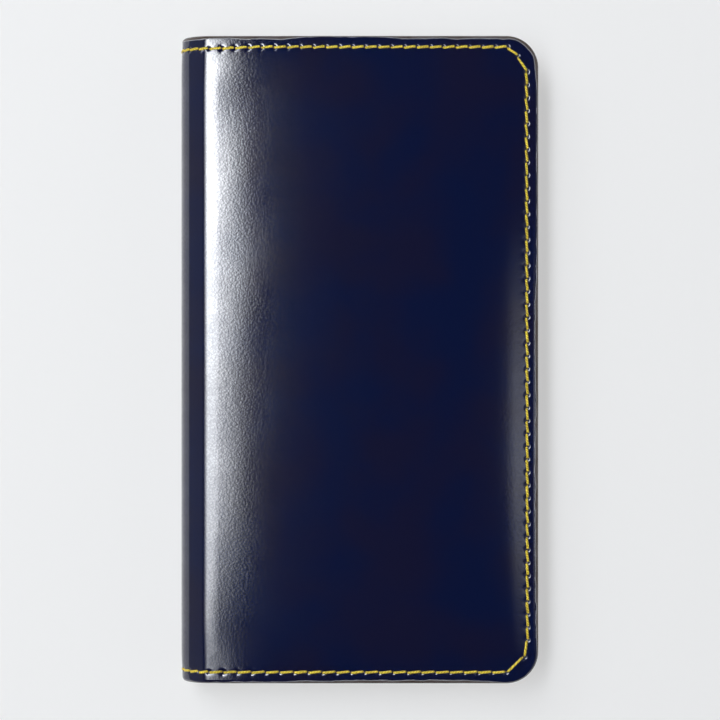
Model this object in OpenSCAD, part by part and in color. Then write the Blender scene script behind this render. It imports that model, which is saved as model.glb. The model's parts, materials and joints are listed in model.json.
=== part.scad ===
// Folding leather phone wallet, lying closed on its back cover, in millimetres.
// X runs from the fold (-X) to the fore edge (+X), Y up the page, Z up through the thickness.
// The origin is on the underside, at the centre of the closed wallet.

/* [Cover] */
// Closed width, from the fold to the fore edge
case_w = 80.5; // [80:0.5:84]
// Height of the page
case_h = 145.6; // [145:0.5:152]
// Thickness at the stitched rim
rim_top = 15.8; // [15.8:0.1:18]
// Rise of the front cover's crown above its rim
crown_h = 1.0; // [0.4:0.1:1.6]
// Radius of the two fore-edge corners
corner_r = 7.2; // [5:0.2:10]
// Outside radius of each fold of the spine
fold_r = 6.4; // [5:0.1:7]

/* [Leather] */
// Thickness of the outer leather
outer_t = 1.2; // [1:0.1:1.4]
// Thickness of the bonded stiffener
core_t = 0.4; // [0.3:0.1:0.5]
// Thickness of the lining leather
lining_t = 0.6; // [0.4:0.1:0.7]
// Thickness of a pocket panel
pocket_t = 0.5; // [0.4:0.05:0.5]
// Air left behind a pocket panel
pocket_air = 0.2; // [0.15:0.05:0.2]

/* [Stitching] */
// Distance of the seam from the edge
seam_inset = 2.6; // [2.2:0.1:3]
// Diameter of the cover's waxed thread
thread_d = 0.6; // [0.4:0.02:0.6]
// Diameter of the finer thread that closes the card pockets
fine_thread_d = 0.4; // [0.3:0.02:0.44]
// Stitches along the top of a page
top_stitches = 23; // [18:1:26]
// Stitches along the fore edge
side_stitches = 44; // [36:1:48]
// Stitches along the bottom of a page
bottom_stitches = 21; // [18:1:26]

/* [Phone tray] */
// Width of the phone
phone_w = 67.3; // [66:0.1:68]
// Height of the phone
phone_h = 138.4; // [137:0.1:139]
// Thickness of the phone
phone_t = 7.3; // [6.8:0.1:7.3]
// Radius of the phone's corners
phone_corner_r = 9.2; // [8:0.2:11]
// Thickness of the tray's wall and floor
tray_t = 1.0; // [0.8:0.1:1.2]

/* [Hidden] */
$fn = 64;
eps = 0.01;

// the page
spine_x = -case_w / 2;
fore_x = case_w / 2;
page_x = spine_x + fold_r;              // where the flat page meets the fold
half_h = case_h / 2;
seam_y = half_h - seam_inset;
seam_x = fore_x - seam_inset;

// depths below the outer surface
core_in = outer_t;
lining_in = outer_t + core_t;
wall = outer_t + core_t + lining_t;

// the fold: two quarter bends with a flat spine between them, each split at half its angle
fold_split = 45;
low_bend = [page_x, fold_r];
high_bend = [page_x, rim_top - fold_r];

// pockets, from the lining down to the page that faces the phone
pocket_step = pocket_t + pocket_air;
bill_top = rim_top - wall;
pocket_tops = [for (i = [0:3]) bill_top - i * pocket_step];
pocket_face = bill_top - 4 * pocket_step;
bill_mouth_x = page_x + 2.1;
card_side_x = page_x + 5.6;
card_seam_x = card_side_x + 1.6;
lip_back = 32;
lip_middle = 20;
lip_front = 8;
strip_depth = 15;                       // leather of a rear pocket, below its lip
allowance = 3.6;                        // width of the stitched border of a pocket

// the crowned panel of the front cover
crown_inset = 3.4;
crown_edge = 0.2;
crown_steps = 9;                        // flats across each half of the crown
crown_x = [page_x + 1.6, fore_x - crown_inset];
crown_mid_x = (crown_x[0] + crown_x[1]) / 2;

// the seam
thread_r = thread_d / 2;
fine_r = fine_thread_d / 2;
groove_w = 0.96;
groove_d = 0.64;
thread_in = groove_d - thread_r - eps;  // depth of an outer stitch's axis
inner_out = thread_r + eps;             // height of an inner stitch's axis over its face
stitch_gap = 0.28;                      // bare leather at each needle hole
slant = 0.1;                            // sideways lean of a stitch at each end
top_corner = [[seam_x - 4.4, seam_y], [seam_x - 2.1, seam_y - 2.0], [seam_x - 0.1, seam_y - 5.6]];
low_corner = [[seam_x + 0.1, -seam_y + 7.2], [seam_x - 0.7, -seam_y + 3.4], [seam_x - 4.7, -seam_y]];
bend_stitches = 2;                      // in each body's share of a bend

// the tray
tray_z = wall + 0.2;                    // on its adhesive sheet
tray_x = (page_x + fore_x) / 2 - 2.4;   // clear of the fore-edge seam
seat_z = tray_z + tray_t;
room = 0.1;                             // clearance round the phone
tray_top = seat_z + phone_t - 0.75;
tray_w = phone_w + 2 * (room + tray_t);
tray_h = phone_h + 2 * (room + tray_t);
tray_corner_r = phone_corner_r + room + tray_t;
tape = [62, 132];                       // adhesive sheet, width and height
window = [22, 12];                      // camera window, width and height
window_at = [18.6, 57.2];

function run(a, b, n) = [for (i = [0:n]) a + (b - a) * i / n];
function tail(list) = [for (i = [1:len(list) - 1]) list[i]];

// needle holes of a page, from the fold along the top, down the fore edge and back along the bottom
page_holes = concat(
    run([page_x, seam_y], top_corner[0], top_stitches),
    tail(top_corner),
    tail(run(top_corner[2], low_corner[0], side_stitches)),
    tail(low_corner),
    tail(run(low_corner[2], [page_x, -seam_y], bottom_stitches))
);
// straight stretches of the same seam
seam_path = concat([[page_x, seam_y]], top_corner, low_corner, [[page_x, -seam_y]]);

// ---- sheets and folds ----

module page_outline(x_left, inset = 0, y_low = -half_h, y_high = half_h) {
    r = corner_r - inset;
    right = fore_x - inset;
    low = y_low + inset;
    high = min(y_high, half_h - inset);
    round_top = y_high == half_h;
    translate([x_left, low]) square([right - r - x_left, high - low]);
    translate([right - r - eps, low + r]) square([r + eps, high - low - (round_top ? 2 * r : r)]);
    translate([right - r, low + r]) circle(r);
    if (round_top) translate([right - r, high - r]) circle(r);
}

module page_sheet(z, t, x_left, inset = 0, y_low = -half_h, y_high = half_h)
    translate([0, 0, z]) linear_extrude(t) page_outline(x_left, inset, y_low, y_high);

// part of a ring about a bend's centre, from angle a0 to a1 measured from straight down towards -X
module bend_section(centre, d0, d1, a0, a1) {
    reach = 3 * fold_r;
    translate(centre) intersection() {
        difference() {
            circle(fold_r - d0);
            circle(fold_r - d1);
        }
        polygon([[0, 0], reach * [-sin(a0), -cos(a0)], reach * [-sin(a1), -cos(a1)]]);
    }
}

module along_page(h = case_h) rotate([90, 0, 0]) linear_extrude(h, center = true) children();

// one layer of each body, between depths d0 and d1 below the outer surface
module back_layer(d0, d1) {
    page_sheet(d0, d1 - d0, page_x);
    along_page() bend_section(low_bend, d0, d1, 0, fold_split);
}

module spine_layer(d0, d1) along_page() {
    bend_section(low_bend, d0, d1, fold_split, 90);
    translate([spine_x + d0, fold_r]) square([d1 - d0, rim_top - 2 * fold_r]);
    bend_section(high_bend, d0, d1, 90, 180 - fold_split);
}

module front_layer(d0, d1) {
    page_sheet(rim_top - d1, d1 - d0, page_x);
    along_page() bend_section(high_bend, d0, d1, 180 - fold_split, 180);
}

// ---- seams ----

module stitch(p, q, r = thread_r) {
    v = q - p;
    translate(p) rotate([0, acos(v[2] / norm(v)), atan2(v[1], v[0])]) {
        cylinder(r = r, h = norm(v), $fn = 16);
        sphere(r, $fn = 16);
        translate([0, 0, norm(v)]) sphere(r, $fn = 16);
    }
}

// a stitch between two needle holes of the page, short of both and leaning a little
module page_stitch(a, b, z, r = thread_r) {
    u = (b - a) / norm(b - a);
    side = [-u[1], u[0]] * slant;
    back_off = u * (stitch_gap / 2 + r);
    p = a + back_off - side;
    q = b - back_off + side;
    stitch([p[0], p[1], z], [q[0], q[1], z], r);
}

module bend_stitches(centre, r, a0, a1, n, y) {
    step = (a1 - a0) / n;
    off = (stitch_gap / 2 + thread_r) / r * 180 / PI;
    for (i = [0:n - 1]) {
        s = a0 + i * step + off;
        e = a0 + (i + 1) * step - off;
        stitch(
            [centre[0] - r * sin(s), y, centre[1] - r * cos(s)],
            [centre[0] - r * sin(e), y, centre[1] - r * cos(e)]
        );
    }
}

module spine_seam(depth) {
    flat = rim_top - 2 * fold_r;
    r = fold_r - depth;
    off = stitch_gap / 2 + thread_r;
    for (y = [-seam_y, seam_y]) {
        bend_stitches(low_bend, r, fold_split, 90, bend_stitches, y);
        stitch([spine_x + depth, y, fold_r + off], [spine_x + depth, y, fold_r + flat - off]);
        bend_stitches(high_bend, r, 90, 180 - fold_split, bend_stitches, y);
    }
}

// the channel that the outer stitches lie in, round the page
module page_groove(z) for (i = [0:len(seam_path) - 2]) {
    a = seam_path[i];
    v = seam_path[i + 1] - a;
    translate([a[0], a[1], z]) rotate([0, 0, atan2(v[1], v[0])])
        translate([-0.3, -groove_w / 2, 0]) cube([norm(v) + 0.6, groove_w, groove_d + eps]);
}

// the same channel round one bend of the fold, which leaves the flat page alone
module bend_groove(centre) for (y = [-seam_y, seam_y]) translate([0, y, 0]) along_page(groove_w)
    translate(centre) intersection() {
        difference() {
            circle(fold_r + 1);
            circle(fold_r - groove_d);
        }
        translate([-2 * fold_r, -2 * fold_r]) square([2 * fold_r, 4 * fold_r]);
    }

// ---- back cover ----

module camera_window(z, t, grow = 0) {
    r = window[1] / 2 + grow;
    half = window[0] / 2 - window[1] / 2;
    translate([window_at[0], window_at[1], z]) {
        translate([-half, -r, 0]) cube([2 * half, 2 * r, t]);
        for (s = [-1, 1]) translate([s * half, 0, 0]) cylinder(r = r, h = t);
    }
}

module back_outer_leather() color([0.07, 0.09, 0.19]) difference() {
    back_layer(0, outer_t);
    camera_window(-1, wall + 2);
    page_groove(-eps);
    bend_groove(low_bend);
}

module back_core() color([0.55, 0.42, 0.30]) difference() {
    back_layer(core_in, lining_in);
    camera_window(-1, wall + 2);
}

module back_lining() color([0.09, 0.11, 0.22]) difference() {
    back_layer(lining_in, wall);
    camera_window(-1, wall + 2);
}

module back_outer_thread() color([0.90, 0.76, 0.12]) {
    for (i = [0:len(page_holes) - 2]) page_stitch(page_holes[i], page_holes[i + 1], thread_in);
    for (y = [-seam_y, seam_y])
        bend_stitches(low_bend, fold_r - thread_in, 0, fold_split, bend_stitches, y);
}

module back_inner_thread() color([0.90, 0.76, 0.12]) {
    for (i = [0:len(page_holes) - 2]) page_stitch(page_holes[i], page_holes[i + 1], wall + inner_out);
    for (y = [-seam_y, seam_y])
        bend_stitches(low_bend, fold_r - wall - inner_out, 0, fold_split, bend_stitches, y);
}

module tray_adhesive() color([0.80, 0.80, 0.78]) difference() {
    translate([tray_x - tape[0] / 2, -tape[1] / 2, wall]) cube([tape[0], tape[1], tray_z - wall]);
    camera_window(wall - 1, 3, 1.2);
}

// ---- phone tray ----

// a box with round corners and a rounded lower edge
module tub(w, h, r, edge, z, t) {
    module half_section(reach) {
        square([reach - edge, t]);
        translate([0, edge]) square([reach, t - edge]);
        translate([reach - edge, edge]) circle(edge);
    }
    translate([tray_x, 0, z]) {
        for (sx = [-1, 1], sy = [-1, 1]) translate([sx * (w / 2 - r), sy * (h / 2 - r), 0])
            rotate_extrude() intersection() {
                half_section(r);
                square([r, t]);
            }
        for (turn = [0, 180]) rotate([0, 0, turn]) {
            rotate([90, 0, 0]) linear_extrude(h - 2 * r, center = true) half_section(w / 2);
            rotate([90, 0, 90]) linear_extrude(w - 2 * r, center = true) half_section(h / 2);
        }
    }
}

module phone_tray() color([0.10, 0.10, 0.12]) {
    inner_w = phone_w + 2 * room;
    inner_h = phone_h + 2 * room;
    lip = 0.35;
    lip_h = 0.7;
    notch_z = tray_z + 2.6;
    notch_h = tray_top - notch_z + 1;
    difference() {
        tub(tray_w, tray_h, tray_corner_r, 2.6, tray_z, tray_top - tray_z);
        tub(inner_w, inner_h, tray_corner_r - tray_t, 1.6, seat_z, tray_top - lip_h - seat_z);
        tub(inner_w - 2 * lip, inner_h - 2 * lip, tray_corner_r - tray_t - lip, 1.2, seat_z, 20);
        camera_window(tray_z - 1, 4);
        // volume keys, side key, connector and speaker
        translate([tray_x - tray_w / 2 - 2, 18, notch_z]) cube([6, 34, notch_h]);
        translate([tray_x + tray_w / 2 - 4, 24, notch_z]) cube([6, 18, notch_h]);
        translate([tray_x - 23, -tray_h / 2 - 2, notch_z]) cube([46, 6, notch_h]);
    }
}

// ---- spine ----

module spine_outer_leather() color([0.07, 0.09, 0.19]) difference() {
    spine_layer(0, outer_t);
    bend_groove(low_bend);
    bend_groove(high_bend);
    for (y = [-seam_y, seam_y])
        translate([spine_x - eps, y - groove_w / 2, fold_r - eps])
            cube([groove_d + eps, groove_w, rim_top - 2 * fold_r + 2 * eps]);
}

module spine_core() color([0.55, 0.42, 0.30]) spine_layer(core_in, lining_in);

module spine_lining() color([0.09, 0.11, 0.22]) spine_layer(lining_in, wall);

module spine_outer_thread() color([0.90, 0.76, 0.12]) spine_seam(thread_in);

module spine_inner_thread() color([0.90, 0.76, 0.12]) spine_seam(wall + inner_out);

// ---- front cover ----

// section of the crown over a page of this half width, falling away towards its edges
module crown_section(half, drop) {
    foot = rim_top - drop - (drop == 0 ? eps : 0);
    polygon(concat(
        [[half, foot], [-half, foot]],
        [for (i = [-crown_steps:crown_steps])
            [half * i / crown_steps,
                rim_top - drop + crown_h - (crown_h - crown_edge) * pow(i / crown_steps, 2)]]
    ));
}

// everything under the crown, lowered by drop, inside the seam
module crown_space(drop, inset) {
    half_x = (crown_x[1] - crown_x[0]) / 2;
    half_y = half_h - crown_inset;
    intersection() {
        page_sheet(rim_top - drop - 1, 4, crown_x[0] + inset, crown_inset + inset);
        translate([crown_mid_x, 0, 0]) along_page(2 * case_h) crown_section(half_x, drop);
        rotate([90, 0, 90]) linear_extrude(3 * case_w, center = true) crown_section(half_y, drop);
    }
}

module front_outer_leather() color([0.07, 0.09, 0.19]) difference() {
    union() {
        front_layer(0, outer_t);
        crown_space(0, 0);
    }
    crown_space(outer_t, 1.0);
    page_groove(rim_top - groove_d);
    bend_groove(high_bend);
}

module front_crown_pad() color([0.86, 0.84, 0.78]) crown_space(outer_t, 1.0);

module front_core() color([0.55, 0.42, 0.30]) front_layer(core_in, lining_in);

module front_lining() color([0.09, 0.11, 0.22]) front_layer(lining_in, wall);

// a pocket panel: a sheet of thickness t whose stitched border reaches up to the layer above
module pocket(top, t, x_left, mouth_side, y_high) {
    z = top - pocket_step;
    left_border = mouth_side ? -1 : allowance;
    difference() {
        page_sheet(z, pocket_step, x_left, 0, -half_h, y_high);
        translate([x_left + left_border, -half_h + allowance, z + t])
            cube([
                fore_x - allowance - x_left - left_border,
                y_high + half_h - allowance + (mouth_side ? -allowance : 1),
                pocket_step
            ]);
    }
}

// a card pocket of leather, with a channel for the seam that closes its fold side
module card_pocket(top, lip) color([0.09, 0.11, 0.22]) difference() {
    pocket(top, pocket_t, card_side_x, false, lip);
    translate([card_seam_x - groove_w / 2, -case_h, top - pocket_step - eps])
        cube([groove_w, 2 * case_h, fine_thread_d + 3 * eps]);
}

// the leather strip at the mouth of a rear card pocket
module pocket_strip(top, lip) intersection() {
    card_pocket(top, lip);
    translate([-case_w, lip - strip_depth, 0]) cube([2 * case_w, case_h, rim_top]);
}

// the thin fabric that carries on below the strip to the foot of the pocket
module pocket_liner(top, lip) color([0.16, 0.17, 0.24])
    pocket(top, pocket_t / 2, card_side_x, false, lip - strip_depth);

module bill_pocket() color([0.09, 0.11, 0.22])
    pocket(pocket_tops[0], pocket_t, bill_mouth_x, true, half_h);

module card_pocket_back() pocket_strip(pocket_tops[1], lip_back);

module card_pocket_back_liner() pocket_liner(pocket_tops[1], lip_back);

module card_pocket_middle() pocket_strip(pocket_tops[2], lip_middle);

module card_pocket_middle_liner() pocket_liner(pocket_tops[2], lip_middle);

module card_pocket_front() card_pocket(pocket_tops[3], lip_front);

// the innermost face under a stitch whose right-hand end is at x and whose lower end is at y
function inner_face(x, y) =
    x < bill_mouth_x ? bill_top
    : x < card_side_x || y > lip_back ? pocket_tops[1]
    : y > lip_middle ? pocket_tops[2]
    : y > lip_front ? pocket_tops[3]
    : pocket_face;

// the seam that closes the card pockets on the fold side, in three heights, sunk in its channel
module pocket_thread() color([0.90, 0.76, 0.12])
    for (stretch = [[lip_back, lip_middle, 4], [lip_middle, lip_front, 4], [lip_front, -67.5, 25]]) {
        holes = run([card_seam_x, stretch[0] - 0.4], [card_seam_x, stretch[1]], stretch[2]);
        level = inner_face(card_seam_x, stretch[0]) + fine_r + eps;
        for (i = [0:len(holes) - 2]) page_stitch(holes[i] - [0, 0.1], holes[i + 1], level, fine_r);
    }

module front_outer_thread() color([0.90, 0.76, 0.12]) {
    for (i = [0:len(page_holes) - 2])
        page_stitch(page_holes[i], page_holes[i + 1], rim_top - thread_in);
    for (y = [-seam_y, seam_y])
        bend_stitches(high_bend, fold_r - thread_in, 180 - fold_split, 180, bend_stitches, y);
}

module front_inner_thread() color([0.90, 0.76, 0.12]) {
    for (i = [0:len(page_holes) - 2]) {
        a = page_holes[i];
        b = page_holes[i + 1];
        page_stitch(a, b, inner_face(max(a[0], b[0]), min(a[1], b[1])) - inner_out);
    }
    for (y = [-seam_y, seam_y])
        bend_stitches(high_bend, fold_r - wall - inner_out, 180 - fold_split, 180, bend_stitches, y);
}

back_outer_leather();
back_core();
back_lining();
back_outer_thread();
back_inner_thread();
tray_adhesive();
phone_tray();
spine_outer_leather();
spine_core();
spine_lining();
spine_outer_thread();
spine_inner_thread();
front_outer_leather();
front_crown_pad();
front_core();
front_lining();
bill_pocket();
card_pocket_back();
card_pocket_back_liner();
card_pocket_middle();
card_pocket_middle_liner();
card_pocket_front();
pocket_thread();
front_outer_thread();
front_inner_thread();
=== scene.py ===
"""Looks of a folding leather phone wallet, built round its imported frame.

Hide, board and lining are each cut as one flat, round-cornered sheet in millimetres. On a flat sheet,
u runs across the hide from the middle of the spine to the fore edge, v runs up the page, and lift is
the height over the hide's outer face. wrap() folds a sheet round the spine and places it, in metres.
"""

import json
import math
import random

import bmesh
import bpy
import numpy as np
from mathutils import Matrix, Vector


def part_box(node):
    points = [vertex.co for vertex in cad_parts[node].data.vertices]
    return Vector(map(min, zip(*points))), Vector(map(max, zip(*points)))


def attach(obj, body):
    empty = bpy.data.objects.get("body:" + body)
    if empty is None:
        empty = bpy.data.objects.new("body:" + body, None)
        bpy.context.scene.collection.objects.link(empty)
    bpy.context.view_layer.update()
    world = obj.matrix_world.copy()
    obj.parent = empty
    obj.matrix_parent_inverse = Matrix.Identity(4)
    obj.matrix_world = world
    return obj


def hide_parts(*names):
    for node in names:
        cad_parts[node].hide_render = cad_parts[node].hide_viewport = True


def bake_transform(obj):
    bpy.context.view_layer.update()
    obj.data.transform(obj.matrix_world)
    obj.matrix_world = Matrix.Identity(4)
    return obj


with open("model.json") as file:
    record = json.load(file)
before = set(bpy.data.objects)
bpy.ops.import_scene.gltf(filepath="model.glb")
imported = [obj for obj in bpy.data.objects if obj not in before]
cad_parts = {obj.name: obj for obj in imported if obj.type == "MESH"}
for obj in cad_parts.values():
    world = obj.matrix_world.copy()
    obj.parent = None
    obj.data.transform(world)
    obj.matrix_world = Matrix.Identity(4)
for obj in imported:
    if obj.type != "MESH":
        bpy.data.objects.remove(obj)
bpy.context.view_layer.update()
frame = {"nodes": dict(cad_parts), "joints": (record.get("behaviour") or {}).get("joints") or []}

# ---------------------------------------------------------------- sizes, in millimetres

MM = 0.001
HALF_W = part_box("back_outer_leather")[1].x / MM
HALF_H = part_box("back_outer_leather")[1].y / MM
SPINE_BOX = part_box("spine_outer_leather")
RIM = (SPINE_BOX[0].z + SPINE_BOX[1].z) / MM
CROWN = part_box("front_outer_leather")[1].z / MM - RIM
FOLD_R = frame["joints"][0]["pos_m"][2] / MM / (1 - math.cos(math.pi / 4))

CORNER_R = 7.2
HIDE_T = 1.2
BOARD_T = 0.4
LINING_T = 0.6
WALL = HIDE_T + BOARD_T + LINING_T
SEAM_INSET = 2.6
THREAD_R = 0.35
THREAD_LEVEL = -0.13
FINE_R = 0.2

HEAD_STITCHES = 23
FORE_EDGE_STITCHES = 44
FOOT_STITCHES = 21
FOLD_STITCHES = 4
HEAD_SEAM_DRIFT = 0.33

PIT_R = 0.32
PIT_DEPTH = 0.46
TUCK_R = 0.60
TUCK_DEPTH = 0.06
SWELL = 0.012
SWELL_AT = 0.9
SWELL_WIDTH = 0.4

PAGE_X = FOLD_R - HALF_W
FLAT = RIM - 2 * FOLD_R
BEND = FOLD_R * math.pi / 2
PAGE_U = FLAT / 2 + BEND
HALF_U = PAGE_U + HALF_W - PAGE_X
SEAM_X = HALF_W - SEAM_INSET
SEAM_Y = HALF_H - SEAM_INSET

POCKET_STEP = 0.7
POCKET_AIR = 0.2
POCKET_BORDER = 3.6
BILL_TOP = RIM - WALL
LIPS = {"back": 32.0, "middle": 20.0, "front": 8.0}
POCKET_FOOT = -67.5
CARD_SIDE = PAGE_X + 5.6
CARD_SEAM = CARD_SIDE + 1.6
BILL_MOUTH = PAGE_X + 2.1

WINDOW_AT = (18.6, 57.2)
WINDOW = (22.0, 12.0)

SHOULDER = 0.22
SHOULDER_RUN = 2.1
PAD_RUN = 4.5
COVER_WAVE = 0.02
FOLD_DIP = 0.0011
BACK_SEAM_DIP = 0.22
BACK_SEAM_RUN = 1.6
EDGE_ROUND = 0.95
EDGE_FALL = 0.8
EDGE_WANDER = 0.035
FOOT_BREAK = 0.07
OUTLINE = 1e-3

rng = random.Random(7)


# ---------------------------------------------------------------- small helpers

def deselect():
    bpy.ops.object.select_all(action="DESELECT")


def activate(piece):
    deselect()
    piece.select_set(True)
    bpy.context.view_layer.objects.active = piece


def coordinates(piece):
    flat = np.zeros(len(piece.data.vertices) * 3)
    piece.data.vertices.foreach_get("co", flat)
    return flat.reshape(-1, 3)


def set_coordinates(piece, points):
    piece.data.vertices.foreach_set("co", np.ascontiguousarray(points, np.float32).ravel())
    piece.data.update()


def set_attribute(piece, name, values):
    layer = piece.data.attributes.get(name) or piece.data.attributes.new(name, "FLOAT", "POINT")
    layer.data.foreach_set("value", np.asarray(values, np.float32))


def smoothstep(low, high, x):
    t = np.clip((x - low) / (high - low), 0, 1)
    return t * t * (3 - 2 * t)


def make_consistent(piece):
    activate(piece)
    bpy.ops.object.mode_set(mode="EDIT")
    bpy.ops.mesh.select_all(action="SELECT")
    bpy.ops.mesh.normals_make_consistent(inside=False)
    bpy.ops.object.mode_set(mode="OBJECT")


def shade(piece, degrees=38):
    activate(piece)
    bpy.ops.object.shade_smooth_by_angle(angle=math.radians(degrees))
    deselect()


def finish_piece(piece, name, material, nodes):
    piece.name = name
    piece.data.name = name
    piece.data.materials.clear()
    piece.data.materials.append(material)
    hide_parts(*nodes)


# ---------------------------------------------------------------- the seam, on the flat sheet

def run(a, b, count):
    """Evenly spaced points from a to b, both included."""
    return [a + (b - a) * i / count for i in range(count + 1)]


def page_holes():
    """Needle holes of a page in x and y: along the top from the fold, down the fore edge and back."""
    top = [np.array(p) for p in
           ((SEAM_X - 4.4, SEAM_Y), (SEAM_X - 2.1, SEAM_Y - 2.0), (SEAM_X - 0.1, SEAM_Y - 5.6))]
    low = [np.array(p) for p in
           ((SEAM_X + 0.1, 7.2 - SEAM_Y), (SEAM_X - 0.7, 3.4 - SEAM_Y), (SEAM_X - 4.7, -SEAM_Y))]
    head = run(np.array((PAGE_X, SEAM_Y)), top[0], HEAD_STITCHES)
    fore_edge = run(top[2], low[0], FORE_EDGE_STITCHES)
    foot = run(low[2], np.array((PAGE_X, -SEAM_Y)), FOOT_STITCHES)
    return head + top[1:] + fore_edge[1:] + low[1:] + foot[1:]


def fold_holes(v):
    return [np.array((u, v)) for u in run(FLAT / 2, PAGE_U, FOLD_STITCHES)]


def drift(hole):
    """The seam along the head of the page runs a little further in near the fold."""
    near_fold = 1 - smoothstep(PAGE_U, PAGE_U + 13, hole[0])
    return np.array((hole[0], hole[1] - HEAD_SEAM_DRIFT * near_fold * (hole[1] > 0)))


def on_sheet(hole):
    """A hole of the page, given in x and y, as u and v."""
    return np.array((hole[0] - PAGE_X + PAGE_U, hole[1]))


PAGE_HOLES = page_holes()
PAGE_STITCHES = list(zip(PAGE_HOLES[:-1], PAGE_HOLES[1:]))
SHEET_STITCHES = [(on_sheet(a), on_sheet(b)) for a, b in PAGE_STITCHES]
for seam_v in (SEAM_Y, -SEAM_Y):
    holes = fold_holes(seam_v)
    pairs = list(zip(holes[:-1], holes[1:])) + [(np.array((-FLAT / 2, seam_v)), holes[0])]
    SHEET_STITCHES += pairs if seam_v > 0 else [(b, a) for a, b in pairs]
SHEET_STITCHES = [(drift(a), drift(b)) for a, b in SHEET_STITCHES]
SHEET_HOLES = np.array([h for pair in SHEET_STITCHES for h in pair])
SHEET_HOLES = np.unique(np.round(SHEET_HOLES, 4), axis=0)
HOLE_DEPTH = np.array([rng.uniform(0.55, 1.3) for _ in SHEET_HOLES])


# ---------------------------------------------------------------- relief of a sheet's outer face

def edge_distance(u, v):
    """Distance in from the outline of the flat sheet."""
    side = np.abs(u) - (HALF_U - CORNER_R)
    end = np.abs(v) - (HALF_H - CORNER_R)
    outside = np.hypot(np.maximum(side, 0), np.maximum(end, 0))
    return np.maximum(CORNER_R - outside - np.minimum(np.maximum(side, end), 0), 0)


def edge_fall(d):
    """Drop of the burnished edge at a distance d from the outline."""
    t = 1 - np.clip(d / EDGE_ROUND, 0, 1)
    return EDGE_FALL * (1 - np.sqrt(1 - t * t))


def seam_relief(u, v):
    """Leather pulled in by the thread: a pit at each needle hole, and a slight swell beside the seam."""
    fall = np.zeros(len(u))
    puff = np.zeros(len(u))
    near = np.flatnonzero(np.abs(edge_distance(u, v) - SEAM_INSET) < SEAM_INSET)
    p = np.stack((u[near], v[near]), 1)
    line = np.full(len(near), 1e3)
    for a, b in SHEET_STITCHES:
        along = (b - a) / np.linalg.norm(b - a)
        t = np.clip((p - a) @ along, 0, np.linalg.norm(b - a))
        line = np.minimum(line, np.linalg.norm(p - a - t[:, None] * along, axis=1))
    gap = np.linalg.norm(p[:, None] - SHEET_HOLES[None], axis=2)
    pit = (HOLE_DEPTH * np.exp(-(gap / PIT_R) ** 2)).max(1)
    tuck = (HOLE_DEPTH * np.exp(-(gap / TUCK_R) ** 2)).max(1)
    fall[near] = PIT_DEPTH * pit + TUCK_DEPTH * tuck
    puff[near] = SWELL * np.exp(-((line - SWELL_AT) / SWELL_WIDTH) ** 2) * (1 - tuck)
    return fall, puff


WAVES = [(rng.uniform(18, 46), rng.uniform(0, math.tau), rng.uniform(0, math.tau), rng.uniform(0.4, 1))
         for _ in range(9)]


def undulation(u, v):
    """Slow unevenness of stretched leather, about one either way."""
    total = np.zeros(len(u))
    for length, turn, phase, weight in WAVES:
        total += weight * np.sin((u * math.cos(turn) + v * math.sin(turn)) * math.tau / length + phase)
    return total / sum(w[3] for w in WAVES)


def crown_height(u, v):
    """The padded crown of the front cover, which starts in the fold and dies at the three seams."""
    inside = np.maximum(edge_distance(u, v) - SEAM_INSET, 0)
    shoulder = SHOULDER * (1 - np.exp(-inside / SHOULDER_RUN))
    start = PAGE_U - 3
    middle = (start + HALF_U) / 2
    across = 1 - ((u - middle) / (HALF_U - middle)) ** 2
    end = np.abs(v / HALF_H)
    # full almost to the head, and sinking slowly towards the foot
    pad = across * np.where(v > 0, 1 - 0.5 * end ** 6, 1 - 0.55 * end ** 2.2)
    # kept above zero by a soft corner, then held down by the seam
    pad = (pad + np.sqrt(pad * pad + 0.004)) / 2 * (1 - 0.75 * np.exp(-inside / PAD_RUN))
    on_page = smoothstep(PAGE_U - 2, PAGE_U + 6, u)
    wave = COVER_WAVE * undulation(u, v) * smoothstep(0, 8, inside) * on_page
    # the stitched head and foot are pressed flatter towards the fold
    border = smoothstep(HALF_H - 14, HALF_H - SEAM_INSET, np.abs(v))
    dip = FOLD_DIP * np.maximum(PAGE_U + 13 - u, 0) ** 2 * border * smoothstep(3, PAGE_U - 2, u)
    return shoulder + (CROWN - SHOULDER) * pad * smoothstep(FLAT, PAGE_U - 2, u) + wave - dip


def front_relief(u, v):
    """Outer face of the front half: the padded crown, and the seam."""
    fall, puff = seam_relief(u, v)
    return crown_height(u, v) + puff - fall


def back_relief(u, v):
    """Outer face of the back half: flat, with the seam sunk until its thread is level with the leather."""
    fall = seam_relief(u, v)[0]
    sunk = BACK_SEAM_DIP * np.exp(-np.maximum(edge_distance(u, v) - SEAM_INSET, 0) / BACK_SEAM_RUN)
    return -fall - sunk


# ---------------------------------------------------------------- flat sheets and the fold

def wrap(points, upper=True):
    """Folds u, v and lift round the spine, in metres: upwards to the front cover, or down to the back."""
    u, v, lift = points.T
    angle = np.clip((u - FLAT / 2) / FOLD_R, 0, math.pi / 2)
    radius = FOLD_R + lift
    x = PAGE_X - radius * np.cos(angle) + np.maximum(u - PAGE_U, 0)
    z = RIM - FOLD_R + np.minimum(u - FLAT / 2, 0) + radius * np.sin(angle)
    z = z if upper else RIM - z
    return np.stack((x, v, z), 1) * MM


def select_by(piece, test, domain="faces"):
    """In edit mode, selects the faces or edges that pass a test, and nothing else."""
    bpy.ops.mesh.select_all(action="DESELECT")
    bpy.ops.mesh.select_mode(type="FACE" if domain == "faces" else "EDGE")
    mesh = bmesh.from_edit_mesh(piece.data)
    for part in getattr(mesh, domain):
        if test(part):
            part.select_set(True)
    bmesh.update_edit_mesh(piece.data)


def cut(at, normal, **kind):
    """In edit mode, cuts all that shows along a plane."""
    bpy.ops.mesh.select_all(action="SELECT")
    bpy.ops.mesh.bisect(plane_co=at, plane_no=normal, threshold=1e-4, **kind)


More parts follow.
